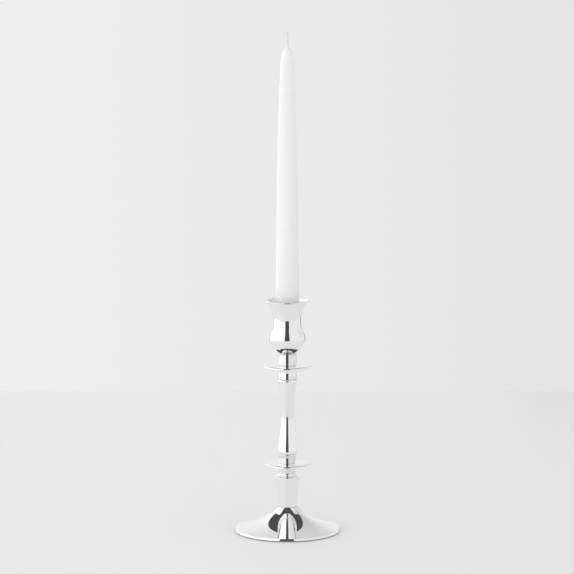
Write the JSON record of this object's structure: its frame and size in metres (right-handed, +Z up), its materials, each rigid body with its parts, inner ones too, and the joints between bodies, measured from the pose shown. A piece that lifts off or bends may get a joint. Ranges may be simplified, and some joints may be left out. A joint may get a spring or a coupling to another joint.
{
  "type": "candlestick",
  "caption": "Polished metal candlestick with a wide round foot, a baluster stem between two flat drip discs, a tulip cup, and a taper candle that lifts out.",
  "frame": {"origin": "middle of the felt face that the candlestick rests on", "axes": "+Z up the axis of the stem and the candle, and X and Y along any two level directions"},
  "size_m": [0.0988, 0.0988, 0.4641],
  "materials": {
    "silver_plate": "silver plate over turned brass, buffed to a mirror",
    "bare_brass": "turned, unpolished",
    "zinc_steel": "bright zinc plating",
    "ballast_iron": "rough sand casting",
    "fibre_board": "pressed grey-brown board",
    "felt": "wool felt, matt",
    "candle_wax": null,
    "wick_cotton": "braided cotton, waxed"
  },
  "bodies": {
    "holder": {"felt_pad": "felt", "backing_disc": "fibre_board", "foot_shell": "silver_plate", "ballast_weight": "ballast_iron", "flat_washer": "zinc_steel", "spring_washer": "zinc_steel", "hex_nut": "zinc_steel", "tie_rod": "zinc_steel", "pedestal": "silver_plate", "pedestal_collar": "silver_plate", "lower_disc": "silver_plate", "stem_bottom_collar": "silver_plate", "baluster_stem": "silver_plate", "stem_top_collar": "silver_plate", "upper_disc": "silver_plate", "upper_neck_collar": "silver_plate", "cup_shell": "silver_plate", "cup_boss": "bare_brass", "socket_liner": "silver_plate"},
    "taper": {"candle": "candle_wax", "wick": "wick_cotton"}
  },
  "joints": [
    {"name": "candle_lift", "type": "slide", "parent": "holder", "child": "taper", "axis": [0, 0, 1], "range_m": [0, 0.06]}
  ]
}
